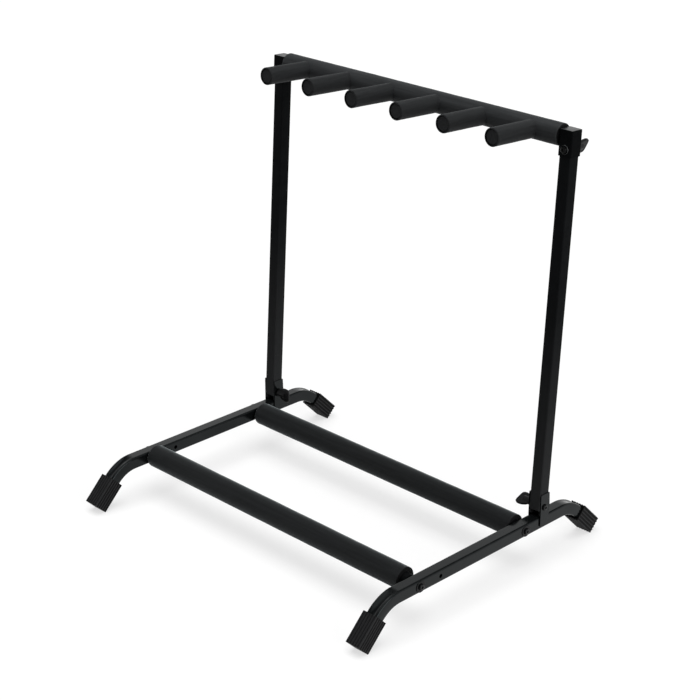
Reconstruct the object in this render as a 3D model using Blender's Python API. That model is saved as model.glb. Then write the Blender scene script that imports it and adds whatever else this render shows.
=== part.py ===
"""Folding floor rack that holds five guitars side by side.

Two bent square-tube rails stand on ribbed rubber feet and are joined by two padded cross bars.
Two uprights fold forward on bolts between ears on the rails. They carry a padded bar whose pegs
keep the guitar necks apart.

Metres. X runs to the right, Y to the back and Z up, from the middle of the rack on the floor.
"""

import math

import bmesh
import bpy
from mathutils import Matrix, Vector

# Clearances
GAP = 0.0003  # between pieces that are fastened together
BOLT_PLAY = 0.0003  # round a bolt, on its radius
SWING_PLAY = 0.0003  # between an upright and the ears beside it

# Square tube of the rails and uprights
TUBE = 0.020
TUBE_WALL = 0.0015
TUBE_CORNER = 0.002

# Base rails
RAIL_SPACING = 0.590  # between the rails' centre lines
RAIL_HEIGHT = 0.062  # the level run's centre line above the floor
RAIL_REACH = 0.204  # from the middle to where the lines of a level run and a leg cross
LEG_SLOPE = math.radians(45)
BEND_RADIUS = 0.058  # of the centre line
BEND_CRUSH = 0.002  # how far the outer wall sinks halfway round a bend

# Rubber feet
FOOT_WALL = 0.0032
FOOT_LENGTH = 0.0505
FOOT_SOLE = 0.005  # rubber past the end of the tube
FOOT_FLAT = 0.0012  # how much of the lowest edge is cut level with the floor
FOOT_EDGE = 0.0008
FOOT_GROOVES = 5  # on each side
GROOVE_WIDTH = 0.0024
GROOVE_DEPTH = 0.0011

# Padded cross bars
FRONT_BAR_Y = -0.1393
REAR_BAR_Y = 0.0919
CROSS_TUBE_D = 0.022
CROSS_FOAM_D = 0.0368
# Bare tube between the foam and the left and right rails
CROSS_FOAM_SETBACKS = {"front": (0.0015, 0.0105), "rear": (0.0050, 0.0018)}
CROSS_END_WALL = 0.008  # the threaded end of a cross tube
SPARE_HOLE_STEP = 0.0425  # from the front bar back to the second hole for it

# Bolts and washers
BOLT_D = 0.006
BOLT_HEAD_D = 0.0105
BOLT_HEAD_H = 0.0024
HEX_KEY = 0.004
HEX_DEPTH = 0.0014
CROSS_WASHER_D = 0.0182
SOCKET_WASHER_D = 0.0138
KNOB_WASHER_D = 0.014
WASHER_T = 0.0008

# Wing nuts
WING_SPAN = 0.0245
WING_REACH = 0.0250  # from the seat to the far edge
WING_T = 0.0045
HUB_D = 0.012
HUB_H = 0.015
NUT_DEPTH = 0.011  # of the blind threaded hole

# Folding joint
PIVOT_Y = 0.1318
PIVOT_RISE = 0.0258  # above the rails' centre line
EAR_T = 0.0017
EAR_TOP = 0.0224  # above the pivot
EAR_BOTTOM = 0.004  # below the rails' centre line
EAR_FRONT = 0.0088
EAR_BACK = 0.0121
EAR_TAPER = 0.0010  # how much less an ear reaches back at its top
EAR_WAIST = 0.0106  # how far back it reaches beside the rail
EAR_SHOULDER = 0.0070  # from the pivot down to where it is that narrow
EAR_CORNER = 0.0015
NOTCH_DROP = 0.0052  # from the pivot down to the opening in an upright's front wall

# Mast, measured along the uprights from the pivot
LEAN = math.radians(3.48)  # backwards
BAR_RISE = 0.5712
SOCKET_WALL = 0.0013
SOCKET_CAP = 0.0015
SOCKET_LENGTH = 0.0388
SOCKET_TOP = 0.0114  # above the neck bar's axis
SOCKET_BOLT_DROP = 0.0174  # below the neck bar's axis
SOCKET_CORNER = 0.0022

# Neck bar and its pegs
NECK_TUBE_D = 0.022
ROUND_WALL = 0.0015  # wall of the round tubes
NECK_FOAM_D = 0.0332
NECK_FOAM_SETBACK = 0.0010  # bare tube between the foam and a socket
PEG_COUNT = 6
PEG_PITCH = 0.0927
PEG_REACH = 0.0967  # from the neck bar's axis to a peg's tip
POST_D = 0.0156
PEG_FOAM_D = 0.0274
DISC_D = 0.0228
DISC_T = 0.002
DISC_RECESS = 0.0012  # how far a peg's end disc lies inside its foam
DISC_STEM = 0.008
FOAM_EDGE = 0.001

# Roundness of the meshes
FOAM_STEPS = 28
TUBE_STEPS = 20
BOLT_STEPS = 12
BEND_STEPS = 7
CORNER_STEPS = 2

# Sizes that follow from the ones above
SIDES = {"left": -1, "right": 1}
RAIL_X = RAIL_SPACING / 2
BOLT_HOLE = BOLT_D / 2 + BOLT_PLAY
FOOT = TUBE + 2 * (GAP + FOOT_WALL)
FOOT_END = (RAIL_HEIGHT + FOOT_FLAT - FOOT / 2 * math.cos(LEG_SLOPE)) / math.sin(LEG_SLOPE)
PIVOT_Z = RAIL_HEIGHT + PIVOT_RISE
EAR_INSIDE = TUBE / 2 + SWING_PLAY  # an ear's inner face from its rail's centre line
EAR_OUTSIDE = EAR_INSIDE + EAR_T
SOCKET = TUBE + 2 * (GAP + SOCKET_WALL)
SOCKET_TOP_Z = BAR_RISE + SOCKET_TOP
SOCKET_BOLT_Z = BAR_RISE - SOCKET_BOLT_DROP
UPRIGHT_TOP = SOCKET_TOP_Z - SOCKET_CAP - GAP
BACK = Vector((0, 1, 0))
SIDE_ON = Matrix(((0, 0, 1, 0), (1, 0, 0, 0), (0, 1, 0, 0), (0, 0, 0, 1)))  # X, Y, Z to Y, Z, X
SOCKET_KNOB_TURNS = {"left": math.radians(120), "right": math.radians(115)}
PIVOT_KNOB_TURNS = {"left": math.radians(93), "right": math.radians(160)}


def finish(name, colour, roughness, metallic=0.0):
    """A plain surface material."""
    made = bpy.data.materials.new(name)
    made.use_nodes = True
    shader = made.node_tree.nodes["Principled BSDF"]
    shader.inputs["Base Color"].default_value = (*colour, 1)
    shader.inputs["Roughness"].default_value = roughness
    shader.inputs["Metallic"].default_value = metallic
    return made


def mesh_from(bm):
    """Closes a bmesh with its faces outwards and returns it as a mesh."""
    bmesh.ops.remove_doubles(bm, verts=bm.verts, dist=1e-6)
    bmesh.ops.recalc_face_normals(bm, faces=bm.faces)
    mesh = bpy.data.meshes.new("shape")
    bm.to_mesh(mesh)
    bm.free()
    return mesh


def combined(operation, mesh, *others):
    """The mesh after a Boolean with each of the others in turn."""
    for other in others:
        body = bpy.data.objects.new("body", mesh)
        tool = bpy.data.objects.new("tool", other)
        for made in (body, tool):
            bpy.context.collection.objects.link(made)
        modifier = body.modifiers.new("Boolean", "BOOLEAN")
        modifier.operation = operation
        modifier.solver = "EXACT"
        modifier.object = tool
        graph = bpy.context.evaluated_depsgraph_get()
        mesh = bpy.data.meshes.new_from_object(body.evaluated_get(graph))
        for made in (body, tool):
            bpy.data.objects.remove(made)
    return mesh


def moved(mesh, shift=(0, 0, 0), turn=None):
    """A turned and then shifted copy of a mesh."""
    copy = mesh.copy()
    copy.transform(Matrix.Translation(shift) @ (turn or Matrix()))
    return copy


def pointing(direction, spin=0.0):
    """The turn that sends Z along a direction, after a spin about Z."""
    return Vector(direction).to_track_quat("Z", "Y").to_matrix().to_4x4() @ Matrix.Rotation(spin, 4, "Z")


def piece(name, mesh, material, at=(0, 0, 0), turn=None, on=None):
    """Adds one named piece of the rack."""
    data = mesh.copy()
    data.name = name
    data.materials.clear()
    data.materials.append(material)
    data.shade_smooth()
    data.set_sharp_from_angle(angle=math.radians(35))
    made = bpy.data.objects.new(name, data)
    bpy.context.collection.objects.link(made)
    made.parent = on
    made.location = at
    made.rotation_euler = (turn or Matrix()).to_euler()
    return made


def rounded_square(side, corner):
    """Points of a square with round corners, centred on the origin."""
    points = []
    for quarter in range(4):
        for step in range(CORNER_STEPS + 1):
            angle = math.pi / 2 * (quarter + step / CORNER_STEPS)
            middle = math.pi / 2 * quarter + math.pi / 4
            inset = (side / 2 - corner) * math.sqrt(2)
            x = inset * math.cos(middle) + corner * math.cos(angle)
            y = inset * math.sin(middle) + corner * math.sin(angle)
            points.append((x, y))
    return points


def prism(points, low, high):
    """An outline in X and Y, extruded along Z."""
    bm = bmesh.new()
    face = bm.faces.new([bm.verts.new((x, y, low)) for x, y in points])
    grown = bmesh.ops.extrude_face_region(bm, geom=[face])["geom"]
    top = [part for part in grown if isinstance(part, bmesh.types.BMVert)]
    bmesh.ops.translate(bm, verts=top, vec=(0, 0, high - low))
    return mesh_from(bm)


def turned(profile, steps, ring=True):
    """A profile of (radius, height) points spun about Z. A ring's profile closes on itself."""
    bm = bmesh.new()
    verts = [bm.verts.new((radius, 0, height)) for radius, height in profile]
    edges = [bm.edges.new(pair) for pair in zip(verts, verts[1:])]
    if ring:
        edges.append(bm.edges.new((verts[-1], verts[0])))
    bmesh.ops.spin(
        bm, geom=verts + edges, cent=(0, 0, 0), axis=(0, 0, 1), angle=2 * math.pi, steps=steps, use_merge=True
    )
    return mesh_from(bm)


def rod(diameter, low, high, steps):
    """A solid cylinder along Z."""
    radius = diameter / 2
    return turned([(0, low), (radius, low), (radius, high), (0, high)], steps, ring=False)


def sleeve(outside, inside, low, high, steps, edge=0.0):
    """A round tube along Z, with its outer rims bevelled by the edge."""
    outer = outside / 2
    inner = inside / 2
    profile = [(inner, low), (outer - edge, low), (outer, low + edge)]
    profile += [(outer, high - edge), (outer - edge, high), (inner, high)]
    return turned(profile, steps)


def across(mesh):
    """The mesh with its Z axis laid along X."""
    return moved(mesh, turn=pointing((1, 0, 0)))


def hollowed(shape):
    """The square tube's wall, from a function that fills an outline of a given side and corner."""
    bore = shape(TUBE - 2 * TUBE_WALL, max(TUBE_CORNER - TUBE_WALL, TUBE_WALL / 5), TUBE_WALL)
    return combined("DIFFERENCE", shape(TUBE, TUBE_CORNER, 0), bore)


def open_edges(parts):
    """The edges among some mesh parts that have a wall on one side only."""
    return [part for part in parts if isinstance(part, bmesh.types.BMEdge) and part.is_boundary]


def drawn(bm, edges, shift):
    """Draws walls on from an outline by a shift, and returns the edges of the new end."""
    grown = bmesh.ops.extrude_edge_only(bm, edges=edges)["geom"]
    bmesh.ops.translate(bm, verts=[part for part in grown if isinstance(part, bmesh.types.BMVert)], vec=shift)
    return open_edges(grown)


def bent_bar(side, corner, past):
    """A filled rail about the middle of its level run, both ends bent down and drawn on past their length."""
    tangent = BEND_RADIUS * math.tan(LEG_SLOPE / 2)
    centre = Vector((0, RAIL_REACH - tangent, -BEND_RADIUS))
    leg = FOOT_END - FOOT_SOLE - GAP - tangent + past
    bm = bmesh.new()
    verts = [bm.verts.new((x, 0, z)) for x, z in rounded_square(side, corner)]
    middle = [bm.edges.new(pair) for pair in zip(verts, verts[1:] + verts[:1])]
    level_end = drawn(bm, middle, (0, centre.y, 0))
    bent = bmesh.ops.spin(
        bm, geom=level_end, cent=centre, axis=(1, 0, 0), angle=-LEG_SLOPE, steps=BEND_STEPS
    )["geom_last"]
    bend_end = open_edges(bent)
    for vert in bm.verts:
        offset = vert.co - centre
        offset.x = 0
        share = math.atan2(offset.y, offset.z) / LEG_SLOPE
        above = offset.length - BEND_RADIUS
        if 0 < share < 1 and above > 0:
            vert.co -= offset.normalized() * BEND_CRUSH * above / (TUBE / 2) * math.sin(math.pi * share)
    leg_end = drawn(bm, bend_end, (0, leg * math.cos(LEG_SLOPE), -leg * math.sin(LEG_SLOPE)))
    bmesh.ops.contextual_create(bm, geom=leg_end)
    bmesh.ops.mirror(bm, geom=bm.verts[:] + bm.edges[:] + bm.faces[:], axis="Y", merge_dist=1e-6)
    return mesh_from(bm)


def rail_mesh():
    """A bent rail with the holes for the cross bars' bolts."""
    drill = across(rod(2 * BOLT_HOLE, -TUBE, TUBE, BOLT_STEPS))
    places = (FRONT_BAR_Y, FRONT_BAR_Y + SPARE_HOLE_STEP, REAR_BAR_Y)
    return combined("DIFFERENCE", hollowed(bent_bar), *[moved(drill, (0, y, 0)) for y in places])


def foot_outline():
    """The ribbed square of a foot, with bevelled corners."""
    half = FOOT / 2
    flat = FOOT - 2 * FOOT_EDGE
    pitch = flat / FOOT_GROOVES
    slope = GROOVE_DEPTH / 2
    side = [(-flat / 2, 0)]
    for groove in range(FOOT_GROOVES):
        middle = (groove + 0.5) * pitch - flat / 2
        side.append((middle - GROOVE_WIDTH / 2, 0))
        side.append((middle - GROOVE_WIDTH / 2 + slope, GROOVE_DEPTH))
        side.append((middle + GROOVE_WIDTH / 2 - slope, GROOVE_DEPTH))
        side.append((middle + GROOVE_WIDTH / 2, 0))
    side.append((flat / 2, 0))
    points = []
    for quarter in range(4):
        turn = Matrix.Rotation(math.pi / 2 * quarter, 2)
        points += [(turn @ Vector((along, depth - half)))[:] for along, depth in side]
    return points


def foot_mesh():
    """A foot along Z from its mouth, with its lower side towards +Y and its lowest edge cut level."""
    block = prism(foot_outline(), 0, FOOT_LENGTH)
    pocket = prism(rounded_square(TUBE + 2 * GAP, TUBE_CORNER), -FOOT_SOLE, FOOT_LENGTH - FOOT_SOLE)
    cup = combined("DIFFERENCE", block, pocket)
    bm = bmesh.new()
    bm.from_mesh(cup)
    down = Vector((0, math.cos(LEG_SLOPE), math.sin(LEG_SLOPE)))
    floor = Vector((0, FOOT / 2, FOOT_LENGTH)) - down * FOOT_FLAT
    cut = bmesh.ops.bisect_plane(
        bm, geom=bm.verts[:] + bm.edges[:] + bm.faces[:], plane_co=floor, plane_no=down, clear_outer=True
    )["geom_cut"]
    bmesh.ops.contextual_create(bm, geom=[part for part in cut if isinstance(part, bmesh.types.BMEdge)])
    return mesh_from(bm)


def cross_tube_mesh():
    """A cross tube along X, closed at both ends but for the bolts' threaded holes."""
    half = RAIL_X - TUBE / 2 - GAP
    outer = CROSS_TUBE_D / 2
    inner = outer - ROUND_WALL
    shoulder = half - CROSS_END_WALL
    profile = [(BOLT_HOLE, -half), (outer, -half), (outer, half), (BOLT_HOLE, half)]
    profile += [(BOLT_HOLE, shoulder), (inner, shoulder), (inner, -shoulder), (BOLT_HOLE, -shoulder)]
    return across(turned(profile, TUBE_STEPS))


def bolt_mesh(shank):
    """A button-head bolt along Z, with the head below Z = 0 and a hexagonal recess in it."""
    radius = BOLT_D / 2
    head = BOLT_HEAD_D / 2
    profile = [(0, -BOLT_HEAD_H), (head * 0.55, -BOLT_HEAD_H), (head * 0.85, -BOLT_HEAD_H * 0.7)]
    profile += [(head, -BOLT_HEAD_H * 0.2), (head, 0), (radius, 0)]
    profile += [(radius, shank - radius / 3), (radius * 0.7, shank), (0, shank)]
    hexagon = [(math.cos(math.pi / 3 * n), math.sin(math.pi / 3 * n)) for n in range(6)]
    across_corners = HEX_KEY / math.sqrt(3)
    recess = prism(
        [(x * across_corners, y * across_corners) for x, y in hexagon],
        -BOLT_HEAD_H - HEX_DEPTH,
        -BOLT_HEAD_H + HEX_DEPTH,
    )
    return combined("DIFFERENCE", turned(profile, BOLT_STEPS, ring=False), recess)


def washer_mesh(diameter):
    """A washer along Z from Z = 0."""
    return sleeve(diameter, 2 * BOLT_HOLE, 0, WASHER_T, TUBE_STEPS)


def wing_nut_mesh():
    """A wing nut along Z from its seat, with its wings along X and a blind hole."""
    half = WING_SPAN / 2
    right = [(0.40, 0.06), (0.70, 0.22), (0.92, 0.45), (1.0, 0.68), (0.95, 0.86), (0.78, 0.97), (0.40, 1.0)]
    outline = [(x * half, z * WING_REACH) for x, z in right]
    outline += [(-x, z) for x, z in reversed(outline)]
    wings = prism(outline, -WING_T / 2, WING_T / 2)
    wings = moved(wings, turn=Matrix.Rotation(math.pi / 2, 4, "X"))
    hub_side = [(0, 0), (HUB_D / 2, 0), (HUB_D / 2, HUB_H / 4), (HUB_D * 0.42, HUB_H), (0, HUB_H)]
    hub = turned(hub_side, TUBE_STEPS, ring=False)
    bore = rod(2 * BOLT_HOLE, -NUT_DEPTH, NUT_DEPTH, BOLT_STEPS)
    return combined("DIFFERENCE", combined("UNION", hub, wings), bore)


def ear_mesh():
    """An ear about the pivot, centred on X = 0."""
    bottom = -PIVOT_RISE - EAR_BOTTOM
    points = [(-EAR_FRONT, bottom), (EAR_WAIST, bottom), (EAR_WAIST, -EAR_SHOULDER), (EAR_BACK, 0)]
    for middle, first in ((EAR_BACK - EAR_TAPER - EAR_CORNER, 0), (EAR_CORNER - EAR_FRONT, 1)):
        for step in range(CORNER_STEPS + 1):
            angle = math.pi / 2 * (first + step / CORNER_STEPS)
            along = middle + EAR_CORNER * math.cos(angle)
            points.append((along, EAR_TOP - EAR_CORNER + EAR_CORNER * math.sin(angle)))
    plate = prism(points, -EAR_T / 2, EAR_T / 2)
    drill = across(rod(2 * BOLT_HOLE, -TUBE, TUBE, BOLT_STEPS))
    return combined("DIFFERENCE", moved(plate, turn=SIDE_ON), drill)


def upright_mesh():
    """An upright along the mast from the pivot, its foot cut to turn forward clear of the rail."""
    reach = PIVOT_RISE - TUBE / 2 - GAP
    wide = TUBE
    low = -PIVOT_RISE

    def filled(side, corner, past):
        return prism(rounded_square(side, corner), low - past, UPRIGHT_TOP + past)

    start = -math.pi / 2 + LEAN
    swing = [(reach * math.cos(start - t), reach * math.sin(start - t)) for t in (0, 0.2, 0.4, 0.6, 0.8)]
    slope = math.tan(LEAN)
    outline = [(wide, swing[0][1] + slope * (wide - swing[0][0]))] + swing
    outline += [(-wide, swing[-1][1]), (-wide, 2 * low), (wide, 2 * low)]
    below = moved(prism(outline, -wide, wide), turn=SIDE_ON)
    cut = TUBE_CORNER - TUBE / 2
    notch = prism([(-wide, -wide), (wide, -wide), (wide, cut), (-wide, cut)], 2 * low, -NOTCH_DROP)
    drill = rod(2 * BOLT_HOLE, -TUBE, TUBE, BOLT_STEPS)
    top_hole = moved(drill, (0, 0, SOCKET_BOLT_Z), pointing(BACK))
    return combined("DIFFERENCE", hollowed(filled), below, notch, across(drill), top_hole)


def socket_mesh():
    """A square cup along the mast that fits over the top of an upright."""
    low = SOCKET_TOP_Z - SOCKET_LENGTH
    block = prism(rounded_square(SOCKET, SOCKET_CORNER), low, SOCKET_TOP_Z)
    inside = rounded_square(TUBE + 2 * GAP, TUBE_CORNER)
    pocket = prism(inside, low - SOCKET_LENGTH, SOCKET_TOP_Z - SOCKET_CAP)
    drill = moved(rod(2 * BOLT_HOLE, -SOCKET, SOCKET, BOLT_STEPS), (0, 0, SOCKET_BOLT_Z), pointing(BACK))
    return combined("DIFFERENCE", block, pocket, drill)


def neck_foam_mesh(half):
    """The neck bar's foam along X, with a hole at the front for each post."""
    foam = across(sleeve(NECK_FOAM_D, NECK_TUBE_D + 2 * GAP, -half, half, FOAM_STEPS, FOAM_EDGE))
    drill = moved(rod(POST_D + 2 * GAP, 0, NECK_FOAM_D, TUBE_STEPS), turn=pointing(-BACK))
    return combined("DIFFERENCE", foam, *[moved(drill, (x, 0, 0)) for x in peg_places()])


def peg_places():
    """Each peg's place along the neck bar."""
    return [PEG_PITCH * (number - (PEG_COUNT - 1) / 2) for number in range(PEG_COUNT)]


def saddled(mesh, diameter):
    """A piece along Z with its lower end shaped to a round bar along X."""
    bar = across(rod(diameter + 2 * GAP, -2 * PEG_FOAM_D, 2 * PEG_FOAM_D, FOAM_STEPS))
    return combined("DIFFERENCE", mesh, bar)


def build_base(paint, rubber, foam, steel):
    """Rails, feet, ears and cross bars."""
    rail = rail_mesh()
    foot = foot_mesh()
    ear = ear_mesh()
    mouth = FOOT_END - FOOT_LENGTH
    mouth_y = RAIL_REACH + mouth * math.cos(LEG_SLOPE)
    mouth_z = RAIL_HEIGHT - mouth * math.sin(LEG_SLOPE)
    tip_down = Matrix.Rotation(-math.pi / 2 - LEG_SLOPE, 4, "X")
    for side, sign in SIDES.items():
        x = sign * RAIL_X
        piece(f"base_rail_{side}", rail, paint, (x, 0, RAIL_HEIGHT))
        piece(f"foot_rear_{side}", foot, rubber, (x, mouth_y, mouth_z), tip_down)
        about = Matrix.Rotation(math.pi, 4, "Z")
        piece(f"foot_front_{side}", foot, rubber, (x, -mouth_y, mouth_z), about @ tip_down)
        for face, out in (("outer", sign), ("inner", -sign)):
            at = (x + out * (EAR_INSIDE + EAR_T / 2), PIVOT_Y, PIVOT_Z)
            piece(f"ear_{face}_{side}", ear, paint, at)

    tube = cross_tube_mesh()
    inside = RAIL_X - TUBE / 2
    bolt = bolt_mesh(WASHER_T + 3 * GAP + TUBE + CROSS_END_WALL + BOLT_D / 2)
    washer = washer_mesh(CROSS_WASHER_D)
    for bar, y in (("front", FRONT_BAR_Y), ("rear", REAR_BAR_Y)):
        piece(f"cross_tube_{bar}", tube, paint, (0, y, RAIL_HEIGHT))
        left, right = CROSS_FOAM_SETBACKS[bar]
        pad = sleeve(CROSS_FOAM_D, CROSS_TUBE_D + 2 * GAP, left - inside, inside - right, FOAM_STEPS, FOAM_EDGE)
        piece(f"cross_foam_{bar}", across(pad), foam, (0, y, RAIL_HEIGHT))
        for side, sign in SIDES.items():
            inward = pointing((-sign, 0, 0))
            seat = RAIL_X + TUBE / 2 + GAP + WASHER_T
            piece(f"cross_washer_{bar}_{side}", washer, steel, (sign * seat, y, RAIL_HEIGHT), inward)
            piece(f"cross_bolt_{bar}_{side}", bolt, steel, (sign * (seat + GAP), y, RAIL_HEIGHT), inward)


def build_pivots(steel, plastic, wing_nut):
    """The bolts that the uprights fold on, with their washers and wing nuts."""
    grip = 2 * (EAR_OUTSIDE + GAP) + WASHER_T + GAP
    bolt = bolt_mesh(grip + NUT_DEPTH - GAP)
    washer = washer_mesh(KNOB_WASHER_D)
    for side, sign in SIDES.items():
        x = sign * RAIL_X
        inward = pointing((-sign, 0, 0))
        piece(f"pivot_bolt_{side}", bolt, steel, (x + sign * (EAR_OUTSIDE + GAP), PIVOT_Y, PIVOT_Z), inward)
        seat = x - sign * (EAR_OUTSIDE + GAP)
        piece(f"pivot_washer_{side}", washer, steel, (seat, PIVOT_Y, PIVOT_Z), inward)
        seat -= sign * (WASHER_T + GAP)
        turn = pointing((-sign, 0, 0), PIVOT_KNOB_TURNS[side])
        piece(f"pivot_wing_nut_{side}", wing_nut, plastic, (seat, PIVOT_Y, PIVOT_Z), turn)


def build_mast(paint, foam, steel, plastic, wing_nut):
    """Uprights and everything they carry, about an empty on the folding axis."""
    mast = bpy.data.objects.new("mast_pivot", None)
    bpy.context.collection.objects.link(mast)
    mast.location = (0, PIVOT_Y, PIVOT_Z)
    mast.rotation_euler = (-LEAN, 0, 0)

    upright = upright_mesh()
    socket = socket_mesh()
    washer = washer_mesh(SOCKET_WASHER_D)
    bolt = bolt_mesh(SOCKET + 3 * GAP + WASHER_T + NUT_DEPTH - GAP)
    front = -SOCKET / 2 - GAP - WASHER_T
    for side, sign in SIDES.items():
        x = sign * RAIL_X
        piece(f"upright_{side}", upright, paint, (x, 0, 0), on=mast)
        piece(f"socket_{side}", socket, paint, (x, 0, 0), on=mast)
        piece(f"socket_washer_{side}", washer, steel, (x, front, SOCKET_BOLT_Z), pointing(BACK), mast)
        piece(f"socket_bolt_{side}", bolt, steel, (x, front - GAP, SOCKET_BOLT_Z), pointing(BACK), mast)
        seat = (x, SOCKET / 2 + GAP, SOCKET_BOLT_Z)
        turn = pointing(BACK, SOCKET_KNOB_TURNS[side])
        piece(f"socket_wing_nut_{side}", wing_nut, plastic, seat, turn, mast)

    half = RAIL_X - SOCKET / 2 - GAP
    tube = across(sleeve(NECK_TUBE_D, NECK_TUBE_D - 2 * ROUND_WALL, -half, half, TUBE_STEPS))
    piece("neck_bar_tube", tube, paint, (0, 0, BAR_RISE), on=mast)
    piece("neck_bar_foam", neck_foam_mesh(half - NECK_FOAM_SETBACK), foam, (0, 0, BAR_RISE), on=mast)

    disc_seat = PEG_REACH - DISC_RECESS - DISC_T
    post_bore = POST_D - 2 * ROUND_WALL
    post = saddled(sleeve(POST_D, post_bore, NECK_TUBE_D / 4, disc_seat - GAP, TUBE_STEPS), NECK_TUBE_D)
    pad = sleeve(PEG_FOAM_D, POST_D + 2 * GAP, NECK_FOAM_D / 4, PEG_REACH, FOAM_STEPS, FOAM_EDGE)
    pocket = rod(DISC_D + 2 * GAP, disc_seat - GAP, 2 * PEG_REACH, FOAM_STEPS)
    pad = combined("DIFFERENCE", saddled(pad, NECK_FOAM_D), pocket)
    stem = post_bore / 2 - GAP
    profile = [(0, disc_seat - DISC_STEM), (stem, disc_seat - DISC_STEM), (stem, disc_seat)]
    profile += [(DISC_D / 2, disc_seat), (DISC_D / 2, disc_seat + DISC_T), (0, disc_seat + DISC_T)]
    disc = turned(profile, TUBE_STEPS, ring=False)
    forward = pointing(-BACK)
    for number, x in enumerate(peg_places(), 1):
        at = (x, 0, BAR_RISE)
        piece(f"peg_post_{number}", post, paint, at, forward, mast)
        piece(f"peg_foam_{number}", pad, foam, at, forward, mast)
        piece(f"peg_disc_{number}", disc, plastic, at, forward, mast)


def main():
    """Clears the scene and builds the rack."""
    for old in list(bpy.data.objects):
        bpy.data.objects.remove(old)
    paint = finish("black_paint", (0.022, 0.024, 0.025), 0.45)
    rubber = finish("black_rubber", (0.016, 0.016, 0.017), 0.75)
    foam = finish("charcoal_foam", (0.030, 0.030, 0.032), 0.9)
    steel = finish("blackened_steel", (0.10, 0.10, 0.105), 0.35, 1.0)
    plastic = finish("black_plastic", (0.018, 0.018, 0.019), 0.5)
    wing_nut = wing_nut_mesh()
    build_base(paint, rubber, foam, steel)
    build_pivots(steel, plastic, wing_nut)
    build_mast(paint, foam, steel, plastic, wing_nut)


main()
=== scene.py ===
"""Looks of a folding floor rack for guitars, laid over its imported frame.

Metres. X runs to the right, Y to the back and Z up, from the middle of the rack on the floor.
"""

import math

import bmesh
import bpy
from mathutils import Matrix, Vector, noise


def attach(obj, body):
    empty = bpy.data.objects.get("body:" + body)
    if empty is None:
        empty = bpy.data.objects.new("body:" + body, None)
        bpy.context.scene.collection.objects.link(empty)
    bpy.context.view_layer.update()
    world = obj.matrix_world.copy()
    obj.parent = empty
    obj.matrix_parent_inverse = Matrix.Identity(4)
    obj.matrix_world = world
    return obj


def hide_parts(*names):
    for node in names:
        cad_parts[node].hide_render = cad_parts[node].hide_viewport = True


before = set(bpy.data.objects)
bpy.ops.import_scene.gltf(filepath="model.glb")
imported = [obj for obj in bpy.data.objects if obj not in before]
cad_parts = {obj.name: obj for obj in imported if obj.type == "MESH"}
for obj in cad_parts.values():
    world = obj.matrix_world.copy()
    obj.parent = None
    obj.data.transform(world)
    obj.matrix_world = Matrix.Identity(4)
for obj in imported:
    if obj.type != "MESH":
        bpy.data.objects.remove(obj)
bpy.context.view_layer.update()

# Sizes of the frame
GAP = 0.0003
TUBE = 0.020
TUBE_WALL = 0.0015
TUBE_CORNER = 0.002
RAIL_CORNER = 0.0027
RAIL_X = 0.295
RAIL_HEIGHT = 0.062
RAIL_REACH = 0.204
LEG_SLOPE = math.radians(45)
BEND_RADIUS = 0.058
BEND_CRUSH = 0.002
FOOT = 0.027
FOOT_LENGTH = 0.0505
FOOT_SOLE = 0.005
FOOT_FLAT = 0.0012
FOOT_GROOVES = 5
GROOVE_DEPTH = 0.0011
BAR_PLACES = {"front": -0.1393, "rear": 0.0919}
SPARE_HOLE_Y = -0.0968
BAR_TUBE_D = 0.022
BAR_FOAM_D = 0.0368
BAR_FOAM_SETBACKS = {"front": (0.0015, 0.0105), "rear": (0.0050, 0.0018)}
BAR_END_WALL = 0.008
BOLT_D = 0.006
BOLT_HOLE_D = 0.0066
BOLT_HEAD_D = 0.0105
BOLT_HEAD_H = 0.0024
HEX_KEY = 0.004
HEX_DEPTH = 0.0014
BAR_WASHER_D = 0.0182
SOCKET_WASHER_D = 0.0138
KNOB_WASHER_D = 0.014
WASHER_T = 0.0008
WING_SPAN = 0.0245
WING_REACH = 0.0250
WING_T = 0.0045
HUB_D = 0.012
HUB_H = 0.015
NUT_DEPTH = 0.011
PIVOT_Y = 0.1318
PIVOT_RISE = 0.0258
EAR_T = 0.0017
EAR_TOP = 0.0224
EAR_BOTTOM = 0.004
EAR_FRONT = 0.0088
EAR_BACK = 0.0121
EAR_TAPER = 0.0010
EAR_WAIST = 0.0106
EAR_SHOULDER = 0.0070
EAR_CORNER = 0.0015
NOTCH_DROP = 0.0052
LEAN = math.radians(3.48)
BAR_RISE = 0.5712
SOCKET = 0.0232
SOCKET_CAP = 0.0015
SOCKET_LENGTH = 0.0388
SOCKET_TOP_Z = 0.5826
SOCKET_BOLT_Z = 0.5538
SOCKET_CORNER = 0.0022
NECK_TUBE_D = 0.022
ROUND_WALL = 0.0015
NECK_FOAM_D = 0.0332
NECK_FOAM_SETBACK = 0.0010
PEG_PLACES = [0.0927 * (number - 2.5) for number in range(6)]
PEG_REACH = 0.0967
POST_D = 0.0156
PEG_FOAM_D = 0.0274
DISC_D = 0.0228
DISC_T = 0.002
DISC_RECESS = 0.0012
DISC_STEM = 0.008

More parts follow.
